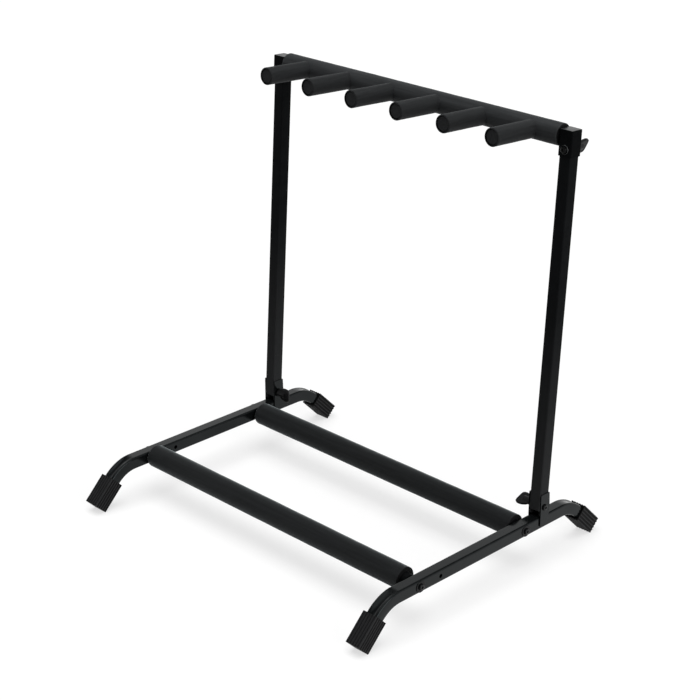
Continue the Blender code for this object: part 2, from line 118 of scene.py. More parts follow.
# Fine shape of the pieces
TUBE_EDGE = 0.0003
BAR_EDGE = 0.0004
SOCKET_EDGE = 0.0009
EAR_EDGE = 0.00035
FOOT_EDGE = 0.0011
FOOT_END_EDGE = 0.0005
GROOVE_STEPS = 10
# Painted shade on the feet's ribbed faces: a ground and a strength by groove depth, for the sides and for
# the front and rear
SIDE_GROOVE_SHADE = (0.0, 5.0)
END_GROOVE_SHADE = (0.48, 0.35)
BEND_STEPS = 26
BEND_CUTS = 15
BEND_BULGE = 0.0004
CRUSH_FULL_AT = 0.75
CRUSH_AT_EDGES = 0.30
CRUSH_IN_MIDDLE = 1.05
HEAD_FLAT = 0.58
HEAD_SIDE = 0.12
WASHER_ROLL = 0.0006
WING_EDGE = 0.0012
WING_VOXEL = 0.00045
HUB_TIP = 0.84
HEEL_TURN = 0.1
FOAM_STEPS = 72
FOAM_RIM = 0.0018
BAR_FOAM_RIM = 0.0013
BAR_FOAM_RINGS = 90
NECK_FOAM_RINGS = 80
PEG_FOAM_RINGS = 16
NECK_FOAM_SEED = 3
PEG_FOAM_SEED = 10
LUMP_HEIGHT = 0.00016
LUMPS_A_METRE = 45
SMALL_LUMPS_A_METRE = 120
DISC_INSET = 0.0009
DISC_EDGE = 0.0005
DISH_RIM = 0.88
DISH_FLOOR = 0.82
DISH_DEPTH = 0.0003
SHARP_ANGLE = math.radians(32)

# Looks: dark and light colour, then the rest as the finish takes it
# Painted light: the colour that the uprights' paint turns to towards their lower ends
LOWER_END_PAINTED_LIGHT = (0.037, 0.038, 0.039)
PAINTS = {
    "rail_paint": ((0.0035, 0.0041, 0.0043), (0.0056, 0.0064, 0.0066), 0.16, 0.195),
    "upright_paint": ((0.0068, 0.0073, 0.0080), (0.0092, 0.0098, 0.0106), 0.30, 0.012, LOWER_END_PAINTED_LIGHT),
    "socket_paint": ((0.0033, 0.0036, 0.0039), (0.0054, 0.0058, 0.0063), 0.28, 0.010),
    # Painted highlight: a paler, glossier copy of the socket paint for the sockets' faces across the mast,
    # their tops among them
    "socket_top_painted_light": ((0.0050, 0.0054, 0.0058), (0.0075, 0.0080, 0.0084), 0.30, 0.21),
}
FOAMS = {
    "bar_foam": ((0.0073, 0.0078, 0.0082), (0.0136, 0.0145, 0.0152), 0.0011, 1.000, (0.05, 1, 1)),
    "neck_foam": ((0.0240, 0.0254, 0.0265), (0.0395, 0.0417, 0.0435), 0.0011, 0.120, (0.05, 1, 1)),
    "peg_foam": ((0.0141, 0.0149, 0.0155), (0.0230, 0.0242, 0.0254), 0.0011, 0.110, (1, 0.05, 1)),
    "cut_foam": ((0.002, 0.0021, 0.0022), (0.005, 0.0052, 0.0055), 0.0016, 0.01),
    "disc_plastic": ((0.0145, 0.0153, 0.0161), (0.0235, 0.0247, 0.0258), 0.0008),
}
STEELS = {
    "bolt_steel": ((0.0016, 0.0017, 0.0018), (0.0036, 0.0038, 0.0040), 0.07, 0.13),
    # Painted highlight: a paler steel for the bolts' flat faces across their axis, the head's flat top among
    # them
    "bolt_face_painted_highlight": ((0.0075, 0.0078, 0.0081), (0.018, 0.0186, 0.0192), 0.24, 0.16),
    # Painted highlight: a bright steel for the socket washers' rolled rims
    "washer_rim_painted_highlight": ((0.042, 0.0435, 0.045), (0.085, 0.088, 0.091), 0.45, 0.20),
    "washer_steel": ((0.0032, 0.0037, 0.0038), (0.0060, 0.0067, 0.0068), 0.14, 0.22),
}

# Light and camera
SKY = ((0.46, 1.0), (0.64, 0.05), (0.74, 0.05), (0.85, 1.0))
LENS = 95.0
SENSOR = 36.0
CAMERA_PLACE = (1.8471, -1.8187, 1.4054)
CAMERA_TURN = (math.radians(66.77), 0, math.radians(45.08))
FLOOR_HALF = 60
FLOOR_DROP = 0.0002

SIDES = {"left": -1, "right": 1}
TOP_KNOB_TURNS = {"left": math.radians(120), "right": math.radians(115)}
HINGE_KNOB_TURNS = {"left": math.radians(93), "right": math.radians(160)}
FOOT_END = (RAIL_HEIGHT + FOOT_FLAT - FOOT / 2 * math.cos(LEG_SLOPE)) / math.sin(LEG_SLOPE)
PIVOT_Z = RAIL_HEIGHT + PIVOT_RISE
EAR_INSIDE = TUBE / 2 + GAP
EAR_OUTSIDE = EAR_INSIDE + EAR_T
RIGHT = Vector((1, 0, 0))
BACK = Vector((0, 1, 0))
SIDE_ON = Matrix(((0, 0, 1, 0), (1, 0, 0, 0), (0, 1, 0, 0), (0, 0, 0, 1)))
MAST = Matrix.Translation((0, PIVOT_Y, PIVOT_Z)) @ Matrix.Rotation(-LEAN, 4, "X")


# Finishes


def finish(name, **settings):
    """A new material with constant settings on its shader, and its node tree and shader."""
    made = bpy.data.materials.new(name)
    made.use_nodes = True
    tree = made.node_tree
    shader = tree.nodes["Principled BSDF"]
    for socket, value in settings.items():
        shader.inputs[socket.replace("_", " ")].default_value = value
    return made, tree, shader


def node(tree, kind, **settings):
    """A new node with values on its inputs, named with _ for a space."""
    made = tree.nodes.new(kind)
    for socket, value in settings.items():
        if isinstance(value, bpy.types.NodeSocket):
            tree.links.new(value, made.inputs[socket.replace("_", " ")])
        else:
            made.inputs[socket.replace("_", " ")].default_value = value
    return made


def place(tree, stretch=(1, 1, 1)):
    """Where a point is on its piece, stretched."""
    where = tree.nodes.new("ShaderNodeTexCoord").outputs["Object"]
    return node(tree, "ShaderNodeMapping", Vector=where, Scale=stretch).outputs["Vector"]


def mottle(tree, size, detail=2.0, roughness=0.5, stretch=(1, 1, 1)):
    """Soft patches of about a size in metres, from 0 to 1."""
    where = place(tree, stretch)
    made = node(tree, "ShaderNodeTexNoise", Vector=where, Scale=1 / size, Detail=detail, Roughness=roughness)
    return made.outputs["Fac"]


def cells(tree, size):
    """Distance from the middle of each of many round cells of about a size in metres."""
    return node(tree, "ShaderNodeTexVoronoi", Vector=place(tree), Scale=1 / size).outputs["Distance"]


def spread(tree, value, low, high, start=0.3, end=0.7):
    """A value from start to end, spread from low to high."""
    limits = {"From_Min": start, "From_Max": end, "To_Min": low, "To_Max": high}
    return node(tree, "ShaderNodeMapRange", Value=value, **limits).outputs["Result"]


def tint(tree, value, dark, light, start=0.3, end=0.7):
    """A colour between two, following a value."""
    ramp = node(tree, "ShaderNodeValToRGB", Fac=value)
    for stop, where, colour in zip(ramp.color_ramp.elements, (start, end), (dark, light)):
        stop.position = where
        stop.color = (*colour, 1)
    return ramp.outputs["Color"]


def relief(tree, height, depth, strength, under=None):
    """The surface's normals raised by a height, over another relief."""
    made = node(tree, "ShaderNodeBump", Height=height, Distance=depth, Strength=strength)
    if under:
        tree.links.new(under, made.inputs["Normal"])
    return made.outputs["Normal"]


def dress(tree, shader, **values):
    """Links values that change over the surface to the shader."""
    for socket, value in values.items():
        tree.links.new(value, shader.inputs[socket.replace("_", " ")])


def powder_coat(name, dark, light, gloss, specular, dust_and_painted_light=None):
    """Black powder coat with a faint orange peel and uneven gloss, and, when a colour is given, painted
    light: paler towards the lower end.
    """
    made, tree, shader = finish(name, Specular_IOR_Level=specular, Specular_Tint=(0.88, 0.98, 1.0, 1))
    patches = mottle(tree, 0.018, 3)
    peel = mottle(tree, 0.0011, 2)
    grit = mottle(tree, 0.00035, 1)
    normal = relief(tree, grit, 0.00002, 0.25, relief(tree, peel, 0.00006, 0.22))
    colour = tint(tree, patches, dark, light)
    # Painted light: the colour turns paler downwards, fully so below 6 cm and not at all above 40 cm
    if dust_and_painted_light:
        height = node(tree, "ShaderNodeSeparateXYZ", Vector=place(tree)).outputs["Z"]
        mix = node(tree, "ShaderNodeMix", Factor=spread(tree, height, 1.0, 0.0, 0.06, 0.40))
        mix.data_type = "RGBA"
        tree.links.new(colour, mix.inputs[6])
        mix.inputs[7].default_value = (*dust_and_painted_light, 1)
        colour = mix.outputs[2]
    dress(
        tree,
        shader,
        Base_Color=colour,
        Roughness=spread(tree, patches, gloss - 0.05, gloss + 0.06),
        Normal=normal,
    )
    return made


def soft_foam(name, dark, light, pore, sheen=0.035, streaks=(1, 1, 1)):
    """Closed-cell foam: fine pores, a soft sheen and faint mottling, which may be drawn out in streaks."""
    gleam = {"Sheen_Weight": sheen, "Sheen_Roughness": 0.30, "Sheen_Tint": (0.72, 0.80, 0.82, 1)}
    made, tree, shader = finish(name, Specular_IOR_Level=0.09, **gleam)
    patches = mottle(tree, 0.005, 4, 0.6, streaks)
    skin = mottle(tree, 0.0012, 3, 0.6)
    holes = cells(tree, pore)
    normal = relief(tree, holes, 0.00010, 0.30, relief(tree, skin, 0.00014, 0.30))
    dress(
        tree,
        shader,
        Base_Color=tint(tree, patches, dark, light),
        Roughness=spread(tree, skin, 0.55, 0.75),
        Normal=normal,
    )
    return made


def foot_rubber():
    """Black rubber with a moulded grain and faint mottling, with painted shade: dark down in its grooves and
    at its mouth.
    """
    made, tree, shader = finish("foot_rubber", Specular_IOR_Level=0.10)
    dust_and_painted_light = mottle(tree, 0.006, 4, 0.65)
    grain = mottle(tree, 0.0005, 2)
    painted_groove_shade = tree.nodes.new("ShaderNodeAttribute")
    painted_groove_shade.attribute_name = "painted_groove_shade"
    # The ribs keep the rubber's own mottled colour; painted shade turns it near black down the grooves and
    # at the mouth
    rib_colour = tint(tree, dust_and_painted_light, (0.0215, 0.0219, 0.0228), (0.0358, 0.0364, 0.0378))
    mix = node(tree, "ShaderNodeMix", Factor=painted_groove_shade.outputs["Fac"])
    mix.data_type = "RGBA"
    tree.links.new(rib_colour, mix.inputs[6])
    mix.inputs[7].default_value = (0.0010, 0.0010, 0.0011, 1)
    dress(
        tree,
        shader,
        Base_Color=mix.outputs[2],
        Roughness=spread(tree, dust_and_painted_light, 0.50, 0.66),
        Normal=relief(tree, grain, 0.00004, 0.35),
    )
    return made


def black_steel(name, dark, light, specular, gloss):
    """Blackened steel with fine turning marks."""
    made, tree, shader = finish(name, Specular_IOR_Level=specular)
    stain = mottle(tree, 0.002, 3)
    lines = mottle(tree, 0.00025, 2)
    dress(
        tree,
        shader,
        Base_Color=tint(tree, stain, dark, light),
        Roughness=spread(tree, stain, gloss - 0.05, gloss + 0.06),
        Normal=relief(tree, lines, 0.00002, 0.25),
    )
    return made


def knob_plastic():
    """Black moulded plastic with a fine spark-eroded texture."""
    made, tree, shader = finish("knob_plastic", Specular_IOR_Level=0.12)
    patches = mottle(tree, 0.004, 3)
    grain = mottle(tree, 0.0004, 2)
    dress(
        tree,
        shader,
        Base_Color=tint(tree, patches, (0.0065, 0.0067, 0.0070), (0.0120, 0.0123, 0.0128)),
        Roughness=spread(tree, patches, 0.38, 0.52),
        Normal=relief(tree, grain, 0.00004, 0.35),
    )
    return made


def make_looks():
    """All finishes of the rack by name."""
    looks = {name: powder_coat(name, *look) for name, look in PAINTS.items()}
    looks.update({name: soft_foam(name, *look) for name, look in FOAMS.items()})
    looks.update({name: black_steel(name, *look) for name, look in STEELS.items()})
    looks["foot_rubber"] = foot_rubber()
    looks["knob_plastic"] = knob_plastic()
    return looks


# Shapes


def worked(bm, wall=0.0, voxel=0.0, cuts=()):
    """A shape given a wall inwards, or melted together at a voxel size, then cut by other shapes."""
    shapes = []
    for shape in (bm, *cuts):
        mesh = bpy.data.meshes.new("shape")
        shape.to_mesh(mesh)
        shape.free()
        made = bpy.data.objects.new("shape", mesh)
        bpy.context.collection.objects.link(made)
        shapes.append(made)
    body = shapes[0]
    if wall:
        modifier = body.modifiers.new("wall", "SOLIDIFY")
        modifier.thickness = wall
        modifier.offset = -1
        modifier.use_even_offset = True
    if voxel:
        modifier = body.modifiers.new("melt", "REMESH")
        modifier.mode = "VOXEL"
        modifier.voxel_size = voxel
        modifier = body.modifiers.new("ease", "SMOOTH")
        modifier.iterations = 8
    for cut in shapes[1:]:
        modifier = body.modifiers.new("cut", "BOOLEAN")
        modifier.operation = "DIFFERENCE"
        modifier.solver = "EXACT"
        modifier.object = cut
    graph = bpy.context.evaluated_depsgraph_get()
    mesh = bpy.data.meshes.new_from_object(body.evaluated_get(graph))
    made = bmesh.new()
    made.from_mesh(mesh)
    for shape in shapes:
        bpy.data.objects.remove(shape)
    return made


def pointing(direction, spin=0.0):
    """The turn that sends Z along a direction, after a spin about Z."""
    return Vector(direction).to_track_quat("Z", "Y").to_matrix().to_4x4() @ Matrix.Rotation(spin, 4, "Z")


def turned(bm, matrix):
    """The shape after a move."""
    bm.transform(matrix)
    return bm


def across(bm):
    """The shape with its Z axis laid along X."""
    return turned(bm, pointing(RIGHT))


def rod(diameter, low, high, steps=32):
    """A cylinder along Z."""
    bm = bmesh.new()
    middle = Matrix.Translation((0, 0, (low + high) / 2))
    radius = diameter / 2
    bmesh.ops.create_cone(
        bm, cap_ends=True, segments=steps, radius1=radius, radius2=radius, depth=high - low, matrix=middle
    )
    return bm


def spun(profile, steps, ring=True):
    """A profile of (radius, height) points spun about Z. A ring's profile closes on itself."""
    bm = bmesh.new()
    verts = [bm.verts.new((radius, 0, height)) for radius, height in profile]
    edges = [bm.edges.new(pair) for pair in zip(verts, verts[1:])]
    if ring:
        edges.append(bm.edges.new((verts[-1], verts[0])))
    bmesh.ops.spin(
        bm,
        geom=verts + edges,
        cent=(0, 0, 0),
        axis=(0, 0, 1),
        angle=2 * math.pi,
        steps=steps,
        use_merge=True,
    )
    bmesh.ops.remove_doubles(bm, verts=bm.verts, dist=1e-7)
    bmesh.ops.recalc_face_normals(bm, faces=bm.faces)
    return bm


def softened(bm, edges, radius, segments):
    """The shape with some edges rounded."""
    bmesh.ops.bevel(
        bm,
        geom=edges,
        offset=radius,
        segments=segments,
        profile=0.5,
        affect="EDGES",
        material=-1,
        clamp_overlap=True,
    )
    return bm


def rims(bm, radius, height):
    """The edges of a shape about Z at a radius and a height."""
    found = []
    for edge in bm.edges:
        if all(abs(v.co.z - height) < 1e-6 and abs(v.co.xy.length - radius) < 1e-6 for v in edge.verts):
            found.append(edge)
    return found


def tube(outside, inside, low, high, steps=64):
    """A round tube along Z with barely broken edges."""
    bm = spun([(inside / 2, low), (outside / 2, low), (outside / 2, high), (inside / 2, high)], steps)
    return softened(bm, rims(bm, outside / 2, low) + rims(bm, outside / 2, high), TUBE_EDGE, 2)


def bar(side, corner, low, high):
    """A square bar along Z with round corners."""
    bm = bmesh.new()
    size = Matrix.Diagonal((side, side, high - low, 1))
    bmesh.ops.create_cube(bm, size=1, matrix=Matrix.Translation((0, 0, (low + high) / 2)) @ size)
    long = [edge for edge in bm.edges if abs(edge.verts[0].co.z - edge.verts[1].co.z) > 1e-6]
    return softened(bm, long, corner, 5)


def plate(points, low, high, corners=(), radius=0.0):
    """An outline in X and Y, some of its corners rounded, extruded along Z."""
    bm = bmesh.new()
    verts = [bm.verts.new((x, y, low)) for x, y in points]
    bm.faces.new(verts)
    if corners:
        bmesh.ops.bevel(
            bm,
            geom=[verts[corner] for corner in corners],
            offset=radius,
            segments=6,
            profile=0.5,
            affect="VERTICES",
            material=-1,
        )
    grown = bmesh.ops.extrude_face_region(bm, geom=bm.faces[:])["geom"]
    top = [part for part in grown if isinstance(part, bmesh.types.BMVert)]
    bmesh.ops.translate(bm, verts=top, vec=(0, 0, high - low))
    bmesh.ops.recalc_face_normals(bm, faces=bm.faces)
    return bm


def foam_sleeve(outside, inside, low, high, rim, rings, seed, low_rim=True):
    """A foam sleeve along Z with soft rims and a slightly uneven skin."""
    outer = outside / 2
    heights = [low + (high - low) * step / rings for step in range(rings + 1)]
    profile = [(inside / 2, low)] + [(outer, height) for height in heights] + [(inside / 2, high)]
    bm = spun(profile, FOAM_STEPS)
    ends = rims(bm, outer, high)
    if low_rim:
        ends += rims(bm, outer, low)
    softened(bm, ends, rim, 6)
    for vert in bm.verts:
        radius = vert.co.xy.length
        if radius > inside / 2 + 0.0001:
            lumps = noise.noise(vert.co * LUMPS_A_METRE + Vector((seed, 0, 0)))
            lumps += 0.5 * noise.noise(vert.co * SMALL_LUMPS_A_METRE)
            vert.co.xy *= 1 + LUMP_HEIGHT * lumps / radius
    return bm


def open_edges(parts):
    """The edges among some mesh parts that have a wall on one side only."""
    return [part for part in parts if isinstance(part, bmesh.types.BMEdge) and part.is_boundary]


def drawn(bm, edges, shift):
    """Draws walls on from an outline by a shift, and returns the edges of the new end."""
    grown = bmesh.ops.extrude_edge_only(bm, edges=edges)["geom"]
    far = [part for part in grown if isinstance(part, bmesh.types.BMVert)]
    bmesh.ops.translate(bm, verts=far, vec=shift)
    return open_edges(grown)


def bent_rail():
    """A rail about the middle of its level run, its bends pressed in on the outside as bent tube is."""
    tangent = BEND_RADIUS * math.tan(LEG_SLOPE / 2)
    centre = Vector((0, RAIL_REACH - tangent, -BEND_RADIUS))
    leg = FOOT_END - FOOT_SOLE - GAP - tangent
    bm = bmesh.new()
    bmesh.ops.create_grid(bm, x_segments=1, y_segments=1, size=TUBE / 2)
    bmesh.ops.bevel(
        bm, geom=bm.verts[:], offset=RAIL_CORNER, segments=6, profile=0.5, affect="VERTICES", material=-1
    )
    flat = [edge for edge in bm.edges if edge.calc_length() > TUBE / 2]
    bmesh.ops.subdivide_edges(bm, edges=flat, cuts=BEND_CUTS)
    bmesh.ops.rotate(bm, verts=bm.verts, cent=(0, 0, 0), matrix=Matrix.Rotation(math.pi / 2, 3, "X"))
    bmesh.ops.delete(bm, geom=bm.faces[:], context="FACES_ONLY")
    level_end = drawn(bm, bm.edges[:], (0, centre.y, 0))
    bent = bmesh.ops.spin(
        bm, geom=level_end, cent=centre, axis=(1, 0, 0), angle=-LEG_SLOPE, steps=BEND_STEPS
    )
    bend_end = open_edges(bent["geom_last"])
    for vert in bm.verts:
        offset = vert.co - centre
        offset.x = 0
        share = math.atan2(offset.y, offset.z) / LEG_SLOPE
        if not 0 < share < 1.001:
            continue
        above = (offset.length - BEND_RADIUS) / (TUBE / 2)
        squeeze = math.sin(math.pi / 2 * min(1.0, share / CRUSH_FULL_AT)) ** 2
        if above > 0:
            trough = max(0.0, 1 - (abs(vert.co.x) / (TUBE / 2 - RAIL_CORNER)) ** 3)
            depth = BEND_CRUSH * above * squeeze * (CRUSH_AT_EDGES + CRUSH_IN_MIDDLE * trough)
            vert.co -= offset.normalized() * depth
        side = vert.co.x / (TUBE / 2)
        vert.co.x += BEND_BULGE * side * squeeze * max(0.0, 1 - above**2)
    drawn(bm, bend_end, (0, leg * math.cos(LEG_SLOPE), -leg * math.sin(LEG_SLOPE)))
    bmesh.ops.mirror(bm, geom=bm.verts[:] + bm.edges[:] + bm.faces[:], axis="Y", merge_dist=1e-6)
    bmesh.ops.remove_doubles(bm, verts=bm.verts, dist=1e-6)
    bmesh.ops.recalc_face_normals(bm, faces=bm.faces)
    drills = []
    for y in (*BAR_PLACES.values(), SPARE_HOLE_Y):
        drills.append(turned(across(rod(BOLT_HOLE_D, -TUBE, TUBE)), Matrix.Translation((0, y, 0))))
    return worked(bm, wall=TUBE_WALL, cuts=drills)


def ribbed_foot():
    """A rubber foot along Z from its mouth, lower side towards +Y, ribbed along its length."""
    half = FOOT / 2
    flat = FOOT - 2 * FOOT_EDGE
    steps = GROOVE_STEPS * FOOT_GROOVES
    side = []
    for step in range(steps + 1):
        along = flat * (step / steps - 0.5)
        wave = 0.5 - 0.5 * math.cos(2 * math.pi * FOOT_GROOVES * step / steps)
        side.append((along, GROOVE_DEPTH * wave**1.5 - half))
    points = []
    for quarter in range(4):
        turn = Matrix.Rotation(math.pi / 2 * quarter, 2)
        points += [(turn @ Vector(point))[:] for point in side]
    bm = plate(points, 0, FOOT_LENGTH)
    ends = [e for e in bm.edges if abs(e.verts[0].co.z - e.verts[1].co.z) < 1e-6]
    softened(bm, ends, FOOT_END_EDGE, 2)
    pocket = bar(TUBE + 2 * GAP, TUBE_CORNER, -FOOT_SOLE, FOOT_LENGTH - FOOT_SOLE)
    bm = worked(bm, cuts=[pocket])
    down = Vector((0, math.cos(LEG_SLOPE), math.sin(LEG_SLOPE)))
    floor = Vector((0, half, FOOT_LENGTH)) - down * FOOT_FLAT
    cut = bmesh.ops.bisect_plane(
        bm, geom=bm.verts[:] + bm.edges[:] + bm.faces[:], plane_co=floor, plane_no=down, clear_outer=True
    )["geom_cut"]
    bmesh.ops.contextual_create(bm, geom=[part for part in cut if isinstance(part, bmesh.types.BMEdge)])
    # Painted shade from 0 to 1: deeper down each groove and steeply so on the sides; the front and rear
    # faces get a darker ground with faint grooves, and the mouth is fully dark
    painted_groove_shade = bm.verts.layers.float.new("painted_groove_shade")
    for vert in bm.verts:
        sunk = half - max(abs(vert.co.x), abs(vert.co.y))
        ground, shade = SIDE_GROOVE_SHADE if abs(vert.co.x) > abs(vert.co.y) else END_GROOVE_SHADE
        vert[painted_groove_shade] = 1.0 if vert.co.z < 0.0002 else min(1.0, ground + shade * sunk / GROOVE_DEPTH)
    return bm


def bar_tube():
    """A cross bar's tube along Z, closed at both ends but for the bolts' holes."""
    half = RAIL_X - TUBE / 2 - GAP
    outer = BAR_TUBE_D / 2
    inner = outer - ROUND_WALL
    hole = BOLT_HOLE_D / 2
    shoulder = half - BAR_END_WALL
    profile = [(hole, -half), (outer, -half), (outer, half), (hole, half)]
    profile += [(hole, shoulder), (inner, shoulder), (inner, -shoulder), (hole, -shoulder)]
    bm = spun(profile, 64)
    return softened(bm, rims(bm, outer, half) + rims(bm, outer, -half), BAR_EDGE, 2)


def button_bolt(shank):
    """A button-head bolt along Z, with the head below Z = 0 and a hexagonal recess in it."""
    radius = BOLT_D / 2
    head = BOLT_HEAD_D / 2
    profile = [(0, -BOLT_HEAD_H)]
    for step in range(9):
        angle = math.pi / 2 * step / 8
        share = HEAD_FLAT + (1 - HEAD_FLAT) * math.sin(angle)
        rise = HEAD_SIDE + (1 - HEAD_SIDE) * math.cos(angle)
        profile.append((head * share, -BOLT_HEAD_H * rise))
    profile += [(head, 0), (radius, 0), (radius, shank - radius / 3), (radius * 0.7, shank), (0, shank)]
    recess = rod(2 * HEX_KEY / math.sqrt(3), -2 * BOLT_HEAD_H, HEX_DEPTH - BOLT_HEAD_H, steps=6)
    return worked(spun(profile, 48, ring=False), cuts=[recess])


def washer(diameter):
    """A washer along Z from Z = 0, its rim rolled at that end."""
    hole = BOLT_HOLE_D / 2
    bm = spun([(hole, 0), (diameter / 2, 0), (diameter / 2, WASHER_T), (hole, WASHER_T)], 56)
    return softened(bm, rims(bm, diameter / 2, 0), WASHER_ROLL, 4)


def wing_nut():
    """A wing nut along Z from its seat, wings along X, melted together as a moulding."""
    half = WING_SPAN / 2
    right = [(0.40, 0.06), (0.70, 0.22), (0.92, 0.45), (1.0, 0.68), (0.95, 0.86), (0.78, 0.97), (0.40, 1.0)]
    outline = [(x * half, z * WING_REACH) for x, z in right]
    outline += [(-x, z) for x, z in reversed(outline)]
    bm = plate(outline, -WING_T / 2, WING_T / 2)
    around = [e for e in bm.edges if abs(e.verts[0].co.z - e.verts[1].co.z) < 1e-6]
    softened(bm, around, WING_EDGE, 3)
    turned(bm, Matrix.Rotation(math.pi / 2, 4, "X"))
    base = HUB_D / 2
    hub = Matrix.Translation((0, 0, HUB_H / 2))
    bmesh.ops.create_cone(
        bm, cap_ends=True, segments=48, radius1=base, radius2=base * HUB_TIP, depth=HUB_H, matrix=hub
    )
    return worked(bm, voxel=WING_VOXEL, cuts=[rod(BOLT_HOLE_D, -NUT_DEPTH, NUT_DEPTH)])


def hinge_ear():
    """A hinge ear about the pivot, a plate with round top corners and broken edges."""
    bottom = -PIVOT_RISE - EAR_BOTTOM
    points = [(-EAR_FRONT, bottom), (EAR_WAIST, bottom), (EAR_WAIST, -EAR_SHOULDER), (EAR_BACK, 0)]
    points += [(EAR_BACK - EAR_TAPER, EAR_TOP), (-EAR_FRONT, EAR_TOP)]
    bm = plate(points, -EAR_T / 2, EAR_T / 2, (4, 5), EAR_CORNER)
    around = [e for e in bm.edges if abs(e.verts[0].co.z - e.verts[1].co.z) < 1e-6]
    softened(bm, around, EAR_EDGE, 2)
    return worked(turned(bm, SIDE_ON), cuts=[across(rod(BOLT_HOLE_D, -TUBE, TUBE))])


def upright():
    """An upright along the mast from the pivot: hollow, its foot cut away in front and rounded below."""
    low = -PIVOT_RISE
    bm = bar(TUBE, TUBE_CORNER, low, SOCKET_TOP_Z - SOCKET_CAP - GAP)
    ends = [face for face in bm.faces if abs(face.normal.z) > 0.9]
    bmesh.ops.delete(bm, geom=ends, context="FACES_ONLY")
    reach = PIVOT_RISE - TUBE / 2 - GAP
    start = -math.pi / 2 + LEAN
    swing = []
    for step in range(9):
        angle = start - HEEL_TURN * step
        swing.append((reach * math.cos(angle), reach * math.sin(angle)))
    heel = swing[0][1] + math.tan(LEAN) * (TUBE - swing[0][0])
    outline = [(TUBE, heel)] + swing + [(-TUBE, swing[-1][1]), (-TUBE, 2 * low), (TUBE, 2 * low)]
    below = turned(plate(outline, -TUBE, TUBE), SIDE_ON)
    face = TUBE_CORNER - TUBE / 2
    notch = plate([(-TUBE, -TUBE), (TUBE, -TUBE), (TUBE, face), (-TUBE, face)], 2 * low, -NOTCH_DROP)
    pivot_hole = across(rod(BOLT_HOLE_D, -TUBE, TUBE))
    at = Matrix.Translation((0, 0, SOCKET_BOLT_Z)) @ pointing(BACK)
    top_hole = turned(rod(BOLT_HOLE_D, -TUBE, TUBE), at)
    return worked(bm, wall=TUBE_WALL, cuts=[below, notch, pivot_hole, top_hole])


def top_socket():
    """A square cup along the mast, closed at the top, over the top of an upright."""
    low = SOCKET_TOP_Z - SOCKET_LENGTH
    bm = bar(SOCKET, SOCKET_CORNER, low, SOCKET_TOP_Z)
    crown = [edge for edge in bm.edges if all(v.co.z > SOCKET_TOP_Z - 1e-6 for v in edge.verts)]
    softened(bm, crown, SOCKET_EDGE, 3)
    pocket = bar(TUBE + 2 * GAP, TUBE_CORNER, low - SOCKET_LENGTH, SOCKET_TOP_Z - SOCKET_CAP)
    at = Matrix.Translation((0, 0, SOCKET_BOLT_Z)) @ pointing(BACK)
    hole = turned(rod(BOLT_HOLE_D, -SOCKET, SOCKET), at)
    return worked(bm, cuts=[pocket, hole])


def neck_foam():
    """The neck bar's foam along X, with a hole at the front for each post."""
    half = RAIL_X - SOCKET / 2 - GAP - NECK_FOAM_SETBACK
    bore = NECK_TUBE_D + 2 * GAP
    bm = across(foam_sleeve(NECK_FOAM_D, bore, -half, half, FOAM_RIM, NECK_FOAM_RINGS, NECK_FOAM_SEED))
    drills = []
    for x in PEG_PLACES:
        aim = Matrix.Translation((x, 0, 0)) @ pointing(-BACK)
        drills.append(turned(rod(POST_D + 2 * GAP, 0, NECK_FOAM_D), aim))
    return worked(bm, cuts=drills)


def peg_foam(seed):
    """A peg's foam along Z, its foot saddled on the neck bar's foam and its tip recessed for the disc."""
    saddle = NECK_FOAM_D / 2 + GAP
    bore = POST_D + 2 * GAP
    bm = foam_sleeve(PEG_FOAM_D, bore, saddle, PEG_REACH, FOAM_RIM, PEG_FOAM_RINGS, seed, low_rim=False)
    for vert in bm.verts:
        if vert.co.z < saddle + 1e-6:
            vert.co.z = math.sqrt(saddle**2 - vert.co.y**2)
    seat = PEG_REACH - DISC_RECESS - DISC_T
    return worked(bm, cuts=[rod(DISC_D + 2 * GAP, seat - GAP, 2 * PEG_REACH, steps=FOAM_STEPS)])


def peg_disc():
    """A peg's end disc along Z, with a rounded rim and a shallow dish."""
    seat = PEG_REACH - DISC_RECESS - DISC_T
    stem = POST_D / 2 - ROUND_WALL - GAP
    rim = DISC_D / 2 - DISC_INSET
    dish = rim * DISH_RIM
    top = seat + DISC_T
    profile = [(0, seat - DISC_STEM), (stem, seat - DISC_STEM), (stem, seat), (rim, seat), (rim, top)]
    profile += [(dish, top), (rim * DISH_FLOOR, top - DISH_DEPTH), (0, top - DISH_DEPTH)]
    bm = spun(profile, 56, ring=False)
    return softened(bm, rims(bm, rim, top) + rims(bm, dish, top), DISC_EDGE, 3)


# The rack


def set_piece(name, bm, at, finishes, body, stands_for, cut_ends_and_painted_light=None):
    """Adds one piece in its place, riding on a body and standing for a node of the frame."""
    turned(bm, at)
    bmesh.ops.remove_doubles(bm, verts=bm.verts, dist=1e-7)
    # Faces across the given axis take the second finish: a foam's cut ends, and on other pieces the faces
    # given painted light or shade
    if cut_ends_and_painted_light is not None:
        for face in bm.faces:
            face.material_index = int(abs(face.normal @ cut_ends_and_painted_light) > 0.9)
    mesh = bpy.data.meshes.new(name)
    bm.to_mesh(mesh)
    bm.free()
    for made in finishes:
        mesh.materials.append(made)
    mesh.shade_smooth()
    mesh.set_sharp_from_angle(angle=SHARP_ANGLE)
    piece = bpy.data.objects.new(name, mesh)
    bpy.context.collection.objects.link(piece)
    modifier = piece.modifiers.new("even shading", "WEIGHTED_NORMAL")
    modifier.keep_sharp = True
    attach(piece, body)
    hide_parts(stands_for)
    return piece


def build_base(looks):
    """Rails, feet, ears, cross bars and pivot bolts."""
    for side, sign in SIDES.items():
        build_rail(looks, side, sign)
        build_hinge(looks, side, sign)
    for number, (name, y) in enumerate(BAR_PLACES.items()):
        build_bar(looks, number, name, y)


